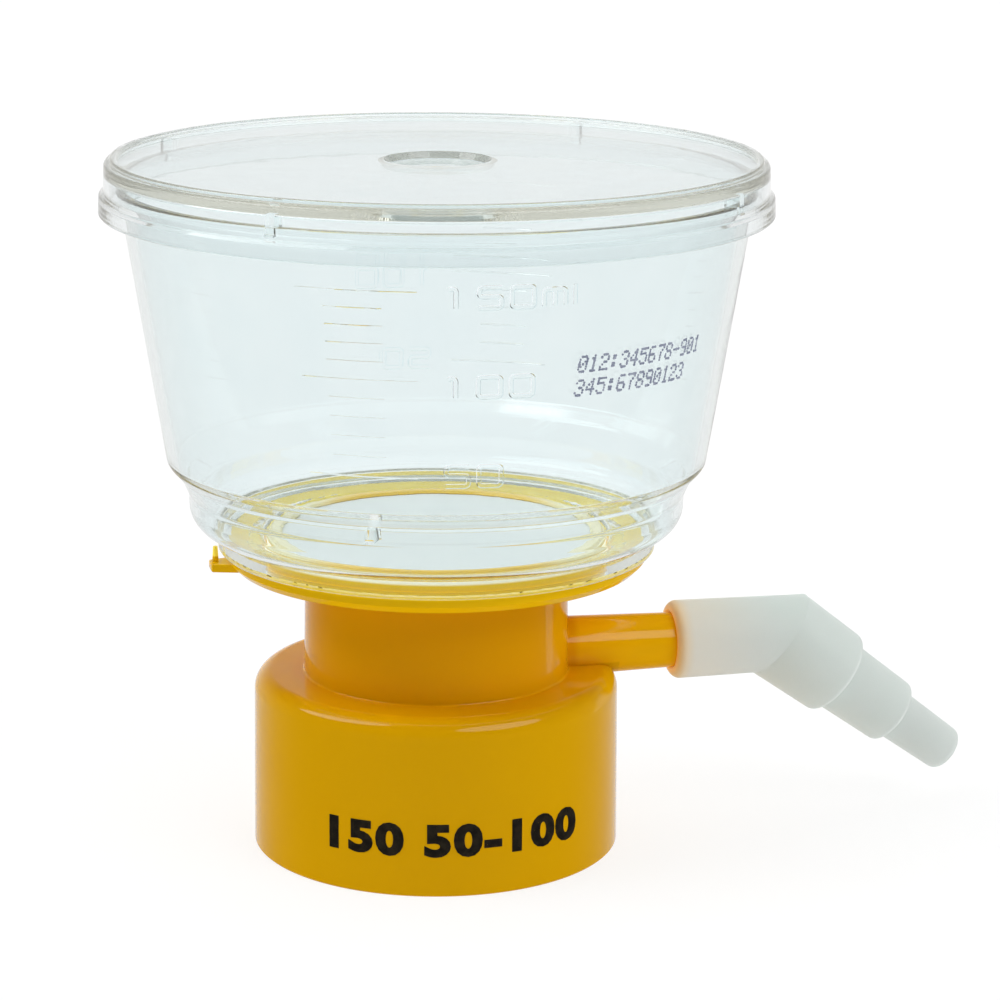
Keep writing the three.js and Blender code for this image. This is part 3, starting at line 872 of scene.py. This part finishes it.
def membrane_ribs():
    """Long and short ribs that hold the membrane above the drain floor."""
    drain_r = MEMBRANE_R - LAND_WIDTH
    foot = PLATFORM_Z - DRAIN_DEPTH - DRAIN_FALL - JOIN
    long_start = SPOUT_BORE_R + RIB_WIDTH
    short_start = drain_r - SHORT_RIB_LENGTH
    half_step = 180 / LONG_RIBS
    return [
        spokes(LONG_RIBS, first, start, drain_r + JOIN, RIB_WIDTH, foot, PLATFORM_Z)
        for first, start in ((0, long_start), (half_step, short_start))
    ]


def cap_thread():
    """Round thread inside the cap, half sunk in its wall."""
    sizes = {"Turns": THREAD_TURNS, "Pitch": THREAD_PITCH, "Start": THREAD_START,
             "Radius": CAP_BORE_R, "Depth": THREAD_DEPTH}
    tree, _, (turns, pitch, low, radius, depth) = geometry_tree("cap_thread", sizes)
    spiral = tree.node("GeometryNodeCurveSpiral", {
        "Resolution": 72, "Rotations": turns, "Start Radius": radius, "End Radius": radius,
        "Height": turns * pitch,
    })
    raised = tree.vector(0, 0, low)
    spiral = tree.node("GeometryNodeTransform", {"Geometry": spiral, "Translation": raised})
    return grown(tree, tube_along(tree, spiral, depth, 12), sizes, YELLOW)


def membrane_seal():
    """Ragged bead of melted plastic that holds the membrane's edge."""
    sizes = {"Radius": MEMBRANE_R - SEAL_OVERLAP, "Half width": SEAL_R, "Flatness": SEAL_FLATNESS,
             "Wander": SEAL_WANDER, "Height": LIP_TOP}
    tree, _, (radius, half_width, flatness, wander, height) = geometry_tree("membrane_seal", sizes)
    ring = tree.node("GeometryNodeCurvePrimitiveCircle", {"Resolution": 480, "Radius": radius})
    place = tree.node("GeometryNodeInputPosition")
    ragged = tree.noise(place, 0.5, 4, 0.75) - 0.5
    around = tree.node("ShaderNodeVectorMath", {0: place}, {"operation": "NORMALIZE"})
    step = {0: around, "Scale": ragged * wander}
    offset = tree.node("ShaderNodeVectorMath", step, {"operation": "SCALE"})
    ring = tree.node("GeometryNodeSetPosition", {"Geometry": ring, "Offset": offset})
    bead = tree.node("GeometryNodeTransform", {
        "Geometry": tube_along(tree, ring, half_width, 8),
        "Translation": tree.vector(0, 0, height), "Scale": tree.vector(1, 1, flatness),
    })
    return grown(tree, bead, sizes, YELLOW)


def support_base():
    """The yellow moulding, with its arm bored into the neck."""
    arm_bore = frustum("arm_bore", ARM_BORE_R, ARM_BORE_R, NECK_R / 2, ARM_REACH + OVERCUT)
    along_arm(arm_bore)
    body = combine(base_body(), "UNION", [side_arm(), index_tab(), spout(), *membrane_ribs()])
    body = combine(body, "UNION", [cap_thread(), membrane_seal()])
    body = finished(combine(body, "DIFFERENCE", [arm_bore]), YELLOW)
    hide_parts("support_base")
    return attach(body, "unit")


# ---- hose adapter ----


def hose_adapter():
    """Socket, elbow and hose steps, bored right through."""
    def socket_r(reach):
        return arm_radius(reach) + SWIVEL_CLEARANCE

    def bent(thing):
        return moved(thing, turn(ELBOW_BEND, "Y"), shift(0, 0, ADAPTER_ELBOW))

    mouth_r = socket_r(ADAPTER_MOUTH) + ADAPTER_WALL
    elbow_r = mouth_r - ADAPTER_TAPER
    length = STEP_COUNT * STEP_LENGTH
    end = ADAPTER_ELBOW + elbow_r
    body = turned("hose_adapter_looks", [
        (0, ADAPTER_MOUTH),
        (mouth_r, ADAPTER_MOUTH, MOUTH_ROUND),
        (elbow_r, end),
        (0, end),
    ], SLIM_ROUND)
    far = bent(block("far", (-2 * mouth_r, -2 * mouth_r, 0.1), (4 * mouth_r, 2 * mouth_r, length)))
    blend_rings = [ELBOW_BLEND * (k + 1) / BLEND_RINGS for k in range(BLEND_RINGS)]
    corners = [(0, 0), (STEP_ROOT_R, 0)]
    corners += [(STEP_ROOT_R - STEP_TAPER * z / STEP_LENGTH, z) for z in blend_rings]
    for i in range(STEP_COUNT):
        top = STEP_LENGTH * (i + 1)
        root = STEP_ROOT_R - i * STEP_DROP
        last = i + 1 == STEP_COUNT
        corners.append((root - STEP_TAPER, top, TIP_ROUND if last else STEP_ROUND))
        corners.append((0, top) if last else (root - STEP_DROP, top, SMALL_ROUND))
    combine(body, "DIFFERENCE", [far])
    steps = turned("steps", corners, SLIM_ROUND)
    # The first step starts as wide as the socket and widens to its own section.
    narrow = 1 - elbow_r / STEP_ROOT_R
    for vertex in steps.data.vertices:
        widened = min(1, vertex.co.z / (ELBOW_BLEND * MM))
        vertex.co.y *= 1 - narrow * (1 - widened) ** 2
    combine(body, "UNION", [bent(steps)])
    start, stop = ADAPTER_MOUTH - OVERCUT, ARM_REACH + SWIVEL_CLEARANCE
    ball_round = HOSE_BORE_R - 0.001
    ball = rounded([
        (0, -HOSE_BORE_R),
        (HOSE_BORE_R, -HOSE_BORE_R, ball_round),
        (HOSE_BORE_R, HOSE_BORE_R, ball_round),
        (0, HOSE_BORE_R),
    ])
    bores = [
        frustum("socket", socket_r(start), socket_r(stop), start, stop),
        frustum("passage", HOSE_BORE_R, HOSE_BORE_R, stop - OVERCUT, ADAPTER_ELBOW),
        moved(turned("turn", [tuple(p) for p in ball], SLIM_ROUND), shift(0, 0, ADAPTER_ELBOW)),
        bent(frustum("hose_bore", HOSE_BORE_R, HOSE_BORE_R, 0, length + OVERCUT)),
    ]
    combine(body, "DIFFERENCE", bores)
    finished(along_arm(body), FROSTED)
    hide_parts("hose_adapter")
    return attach(body, "adapter")


# ---- funnel and lid ----


def ragged_edge(mesh, radius, low, high, reach):
    """Moves the ring of vertices about a radius in and out along the ragged edge of a weld."""
    for vertex in mesh.vertices:
        x, y, z = vertex.co / MM
        here = math.hypot(x, y)
        if abs(here - radius) < 0.1 and low - 0.01 < z < high + 0.01:
            wander = noise.fractal(Vector((x, y, 0)) * 0.8, 0.6, 2, 4)
            vertex.co.xy *= 1 + reach * max(-1, min(1, wander)) / here


def funnel():
    """Clear shell from the foot to the rim, with its key, graduation and figures."""
    foot_z = FLANGE_TOP + WELD_GAP
    band_floor = foot_z + FOOT_HEIGHT
    opening_r = PLATFORM_R + FUNNEL_CLEARANCE
    outer_face = [
        (FOOT_R, band_floor, SMALL_ROUND),
        (BAND_R, band_floor, BAND_ROUND),
        (BAND_R, BAND_TOP, SPREAD_ROUND),
        (KNEE_R, KNEE_Z, KNEE_ROUND),
        (CONE_FOOT_R, CONE_FOOT_Z, CONE_ROUND),
        (RIM_R, RIM_Z, RIM_ROUND),
    ]
    melted_z = FLANGE_TOP - MELT_DEPTH
    shell = turned("funnel_looks", [
        (opening_r, foot_z),
        (MELT_INNER_R, foot_z),
        (MELT_INNER_R + MELT_DEPTH, melted_z),
        (MELT_R, melted_z),
        (MELT_R + MELT_DEPTH, foot_z),
        (FOOT_R, foot_z, FOOT_FILLET),
        *outer_face,
        (RIM_R - WALL, RIM_Z, RIM_ROUND),
        *inner_face(outer_face, WALL),
        (opening_r, foot_z + FLOOR_LIP, FLOOR_LIP_ROUND),
    ], CLEAR_ROUND)
    ragged_edge(shell.data, MELT_INNER_R, melted_z, foot_z, MELT_INNER_RAGGED)
    ragged_edge(shell.data, MELT_R, melted_z, foot_z, MELT_RAGGED)
    key = block(
        "key",
        (BAND_R - WALL / 2, -KEY_WIDTH / 2, BAND_TOP + WALL),
        (CONE_FOOT_R + KEY_PROUD, KEY_WIDTH / 2, CONE_FOOT_Z - WALL),
    )
    moved(key, turn(KEY_AZIMUTH))
    marks = [graduation_ticks(0), graduation_ticks(180)]
    for facing, relief in ((0, FRONT_RELIEF), (180, REAR_RELIEF)):
        marks += [raised_numerals(facing, relief, layer) for layer in (0, 1)]
    body = finished(combine(shell, "UNION", [key, *marks]), CLEAR)
    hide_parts("funnel")
    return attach(body, "unit")


def lid():
    """Clear shell with panel, gate well, stacking bead and stepped skirt, and vent ribs."""
    skirt_bore_r = RIM_R + SKIRT_CLEARANCE
    skirt_r = skirt_bore_r + SKIRT_WALL
    skirt_top_r = skirt_r - SKIRT_DRAFT
    step_z = RIM_Z - SKIRT_STEP
    lower_r = skirt_r + SKIRT_FLARE
    bead_outer = skirt_top_r - BEAD_SETBACK
    bead_inner = bead_outer - BEAD_WIDTH
    shell = turned("lid_looks", [
        (0, PANEL_Z - WELL_DEPTH),
        (WELL_R + WELL_WALL - WELL_DEPTH / 2, PANEL_Z - WELL_DEPTH, LID_FILLET),
        (WELL_R + WELL_WALL, PANEL_Z, CORNER_ROUND),
        (skirt_bore_r - SKIRT_DRAFT, PANEL_Z, LID_FILLET),
        (skirt_bore_r, step_z, CORNER_ROUND),
        (skirt_bore_r + SKIRT_FLARE, step_z - SKIRT_WALL, CORNER_ROUND),
        (skirt_bore_r + SKIRT_FLARE, LID_BOTTOM, EDGE_ROUND),
        (lower_r + SKIRT_DRAFT, LID_BOTTOM, LID_FILLET),
        (lower_r, step_z - SKIRT_STEP_HEIGHT / 2, LID_FILLET),
        (skirt_r, step_z + SKIRT_STEP_HEIGHT / 2, CORNER_ROUND),
        (skirt_top_r, PANEL_TOP, LID_EDGE),
        (bead_outer, PANEL_TOP, EDGE_ROUND),
        (bead_outer, BEAD_TOP, BEAD_ROUND),
        (bead_inner, BEAD_TOP, BEAD_ROUND),
        (bead_inner, PANEL_TOP, EDGE_ROUND),
        (WELL_R, PANEL_TOP, SMALL_ROUND),
        (WELL_R - WELL_DEPTH / 2, PANEL_TOP - WELL_DEPTH, SMALL_ROUND),
        (0, PANEL_TOP - WELL_DEPTH),
    ], CLEAR_ROUND)
    outer = skirt_bore_r + JOIN
    # A vent rib is a shelf that rests on the funnel's rim, and a guide beside it.
    shelf = (RIM_R - WALL, outer, VENT_RIB_WIDTH, RIM_Z, PANEL_Z + JOIN)
    guide = (RIM_R + VENT_RIB_CLEARANCE, outer, VENT_RIB_WIDTH, RIM_Z - VENT_RIB_DROP, RIM_Z + JOIN)
    ribs = [spokes(VENT_RIBS, VENT_RIB_AZIMUTH, *box) for box in (shelf, guide)]
    body = finished(combine(shell, "UNION", ribs), LID_CLEAR)
    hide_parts("lid")
    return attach(body, "unit")


# ---- graduation and prints ----


def graduation_ticks(facing):
    """Ridges at every ten millilitres, at the height where the bore holds that much."""
    low_r = CONE_FOOT_R - WALL + CONE_SLOPE * (LEAST_Z - CONE_FOOT_Z)
    sizes = {"Count": TICK_COUNT, "Facing": math.radians(facing), "Lowest": LEAST_Z, "Bore": low_r,
             "Slope": CONE_SLOPE, "Radius": TICK_R}
    tree, _, (count, front, low_z, bore_r, slope, ridge_r) = geometry_tree("graduation_ticks", sizes)
    points = tree.node("GeometryNodeMeshLine", {"Count": count, "Offset": (0, 0, 0)})
    rank = tree.node("GeometryNodeInputIndex")
    ranked = {"Geometry": points, "Name": "rank", "Value": rank}
    points = tree.node("GeometryNodeStoreNamedAttribute", ranked)
    line = tree.node("GeometryNodeCurvePrimitiveLine", {"End": (1, 0, 0)})
    line = tree.node("GeometryNodeResampleCurve", {"Curve": line, "Count": 25})
    lines = tree.node("GeometryNodeInstanceOnPoints", {"Points": points, "Instance": line})
    lines = tree.node("GeometryNodeRealizeInstances", {"Geometry": lines})
    rank = tree.node("GeometryNodeInputNamedAttribute", {"Name": "rank"})
    share = tree.split(tree.node("GeometryNodeInputPosition"))[0]
    # A cone's volume between two radii is pi / 3 / slope times the difference of their cubes.
    cube = bore_r * bore_r * bore_r + slope * (rank * (3 * TICK_VOLUME * ML / math.pi))
    radius = cube ** (1 / 3)
    height = low_z + (radius - bore_r) / slope
    is_short = 1 - tree.math("COMPARE", tree.math("MODULO", rank, LONG_TICK_EVERY), 0, 0.1)
    first = LONG_TICK[0] + is_short * (SHORT_TICK[0] - LONG_TICK[0])
    last = LONG_TICK[1] + is_short * (SHORT_TICK[1] - LONG_TICK[1])
    bearing = front + (first + (last - first) * share) * (math.pi / 180)
    lines = placed_round(tree, lines, radius + WALL, bearing, height)
    return grown(tree, tube_along(tree, lines, ridge_r, 8), sizes, CLEAR)


def raised_numerals(facing, relief, layer):
    """The graduation's raised figures. A second layer holds the strokes that cross the first."""
    vertices, edges = [], []
    for text, start, middle in NUMERALS:
        for place, sign in enumerate(text):
            for stroke in STROKES[sign][layer:layer + 1]:
                closed = stroke[0] == stroke[-1]
                first, count = len(vertices), len(stroke) - closed
                left, low = start + place * NUMERAL_PITCH, middle - NUMERAL_HEIGHT / 2
                for x, y in stroke[:count]:
                    vertices.append((left + x * NUMERAL_WIDTH, low + y * NUMERAL_HEIGHT, 0))
                edges += [(first + k, first + k + 1) for k in range(count - 1)]
                if closed:
                    edges.append((first + count - 1, first))
    sizes = {"Facing": math.radians(facing), "Width": STROKE_WIDTH, "Side": STROKE_SIDE,
             "Relief": relief}
    tree, flat, (front, width, side, height) = geometry_tree("raised_numerals", sizes)
    path = tree.node("GeometryNodeMeshToCurve", {"Mesh": flat})
    path = tree.node("GeometryNodeFilletCurve", {
        "Curve": path, "Count": 5, "Radius": STROKE_BEND, "Limit Radius": True,
    }, {"mode": "POLY"})
    section = tree.node("GeometryNodeCurvePrimitiveQuadrilateral", {
        "Height": height * 2, "Offset": 0,
        "Bottom Width": width + side * 2, "Top Width": width - side * 2,
    }, {"mode": "TRAPEZOID"})
    bars = swept(tree, path, section)
    bars = on_wall(tree, bars, front, CONE_FOOT_R, CONE_FOOT_Z, CONE_SLOPE)
    start = mesh_object("raised_numerals", vertices, [], edges, 1)
    return grown(tree, bars, sizes, CLEAR, start)


def dotted_print():
    """Two lines of plain numbers in small ink dots, on the right of the funnel's wall."""
    places = []
    for text, left, low in DOTTED_LINES:
        for position, sign in enumerate(text):
            for row, line in enumerate(DOT_SIGNS[sign].split()):
                for column, mark in enumerate(line):
                    if mark == "#":
                        x = position * DOTTED_PITCH + column * DOT_STEP[0]
                        y = (DOT_ROWS - 1 - row) * DOT_STEP[1]
                        places.append((left + x + y * DOTTED_SLANT, low + y, 0))
    sizes = {"Radius": DOT_R, "Thickness": DOT_THICKNESS, "Slope": CONE_SLOPE}
    tree, flat, (radius, thickness, slope) = geometry_tree("dotted_print", sizes)
    dot = tree.node("GeometryNodeMeshCylinder", {"Vertices": 10, "Radius": radius, "Depth": thickness})
    least, most = DOT_SPREAD
    spread = tree.node("FunctionNodeRandomValue", {2: least, 3: most, "Seed": 4}, output=1)
    dots = {"Points": flat, "Instance": dot, "Scale": spread}
    dots = tree.node("GeometryNodeInstanceOnPoints", dots)
    dots = tree.node("GeometryNodeRealizeInstances", {"Geometry": dots})
    dots = on_wall(tree, dots, 0, CONE_FOOT_R, CONE_FOOT_Z, slope)
    dots = grown(tree, dots, sizes, GREY_INK, mesh_object("dotted_print", places, [], unit=1))
    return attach(finished(dots, GREY_INK), "unit")


def cap_print():
    """Bold plain numbers in black ink round the front of the cap."""
    text = bpy.data.curves.new("cap_print", "FONT")
    text.body = CAP_PRINT
    text.offset = 0.05
    text.extrude = 0.01
    text.space_character = 1.12
    text.resolution_u = 4
    letters = scene_object("letters", text)
    flat = scene_object("cap_print", evaluated_mesh(letters))
    bpy.data.objects.remove(letters)
    low, high = Vector(flat.bound_box[0]), Vector(flat.bound_box[6])
    size = high - low
    fit = Matrix.Diagonal((CAP_PRINT_WIDTH / size.x, CAP_PRINT_HEIGHT / size.y, INK / size.z, 1))
    moved(flat, Matrix.Translation(-low), fit, Matrix.Translation((CAP_PRINT_LEFT, CAP_PRINT_Z, 0)))
    sizes = {"Radius": CAP_R, "Draft": CAP_DRAFT / CAP_HEIGHT}
    tree, start, (radius, draft) = geometry_tree("cap_print", sizes)
    closed = tree.node("GeometryNodeMergeByDistance", {"Geometry": start, "Distance": 0.001})
    dense = tree.node("GeometryNodeSubdivideMesh", {"Mesh": closed, "Level": 1})
    wrapped = on_wall(tree, dense, 0, radius, 0, -draft)
    letters = grown(tree, wrapped, sizes, BLACK_INK, flat)
    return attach(finished(letters, BLACK_INK), "unit")


support_base()
hose_adapter()
funnel()
lid()
dotted_print()
cap_print()
for node, material in (("membrane", MEMBRANE), ("neck_gasket", RUBBER)):
    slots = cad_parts[node].material_slots
    for index in range(len(slots)):
        slots[index].material = material

# ---- floor, light and camera ----

FLOOR_R = 6000
FLOOR_Z = -0.02
FLOOR_THICKNESS = 0.48
LIGHT_PIPE_BOUNCES = 160
SENSOR_WIDTH = 36
FOCAL_LENGTH = 120.24
EYE = (0, -427.6, 152.96)
YAW, PITCH, ROLL = 0.0195331, 0.2440559, 0.0075073  # radians


def floor():
    """Pale studio floor, which gloss doesn't mirror."""
    material, tree, place = finish_tree("pale_floor")
    cloud = tree.noise(place, 0.01, 2)
    surface(tree, {
        "Base Color": tree.mix(cloud, (0.24, 0.24, 0.24), (0.26, 0.26, 0.26)),
        "Roughness": 0.9,
        "Specular IOR Level": 0,
        "Emission Color": (1, 1, 1, 1),
        "Emission Strength": 0.77,
    })
    plane = frustum("floor", FLOOR_R, FLOOR_R, FLOOR_Z - FLOOR_THICKNESS, FLOOR_Z, 64)
    finished(plane, material)
    plane.visible_glossy = False


def studio_light():
    """A white studio, darker round the camera, with a soft box high to the left and to the right."""
    world = bpy.data.worlds.new("studio")
    bpy.context.scene.world = world
    world.use_nodes = True
    tree = Tree(world.node_tree)
    direction = tree.node("ShaderNodeTexCoord", output="Generated")
    across, depth, height = tree.split(direction)
    bearing = tree.math("ARCTAN2", across, -depth) * (180 / math.pi)
    elevation = tree.math("ARCSINE", height) * (180 / math.pi)

    def soft_box(centre, reach, lean):
        """1 inside an oval soft box about a bearing and elevation, 0 outside."""
        wide = (bearing - centre[0]) / reach[0]
        tall = (elevation - centre[1] - (bearing - centre[0]) * lean) / reach[1]
        return tree.stretch(wide * wide + tall * tall, 1.1, 0.85)

    # What gloss mirrors: a white sweep behind, dark towards the front, and two soft boxes.
    sweep = tree.node("ShaderNodeMapRange", {"Value": depth, "From Min": -0.5, "From Max": 1}) ** 4
    left, left_lean = (-75, 46), 0.35
    left_box = soft_box(left, (34, 11), left_lean) * 2.4
    right_box = soft_box((46, 39), (33, 15), 0.05) * 1.7
    mirrored = sweep * tree.stretch(elevation, 36, -2) * 0.95 + left_box + right_box
    # What shows through the clear plastic: an even tent, brighter above, and the left soft box.
    tent = tree.stretch(depth, -0.5, 0.95, 0.45, 1) + tree.stretch(elevation, 25, 60) * 0.4
    tent = tent + soft_box(left, (34, 17), left_lean) * 2.2
    # What lights the matt colour: the same tent, darker in front, with the soft boxes.
    lit = tree.stretch(depth, -0.9, 0.3, 0, 1) + (left_box + right_box) * 1.7
    path = tree.node("ShaderNodeLightPath", output="Is Glossy Ray")
    matt = path.also("Is Diffuse Ray")
    gloss = path * (1 - path.also("Is Transmission Ray"))
    radiance = gloss * mirrored + matt * lit + (1 - gloss) * (1 - matt) * tent
    light = tree.node("ShaderNodeBackground", {"Color": (1, 1, 1, 1), "Strength": radiance})
    tree.node("ShaderNodeOutputWorld", {"Surface": light})


def camera():
    """The view that shows the graduated front, the side arm and a little of the lid's top."""
    data = bpy.data.cameras.new("camera")
    data.sensor_width = SENSOR_WIDTH
    data.lens = FOCAL_LENGTH
    eye = scene_object("camera", data)
    eye.matrix_world = (
        shift(*EYE)
        @ Matrix.Rotation(-YAW, 4, "Z")
        @ Matrix.Rotation(math.pi / 2 - PITCH, 4, "X")
        @ Matrix.Rotation(ROLL, 4, "Z")
    )
    bpy.context.scene.camera = eye


floor()
studio_light()
camera()
scene = bpy.context.scene
scene.view_settings.view_transform = "Standard"
scene.world.cycles.sampling_method = "NONE"
scene.cycles.blur_glossy = 0
# Light that enters at the lid's edge runs between its faces to the far side.
scene.cycles.max_bounces = LIGHT_PIPE_BOUNCES
scene.cycles.transmission_bounces = LIGHT_PIPE_BOUNCES
scene.cycles.glossy_bounces = LIGHT_PIPE_BOUNCES
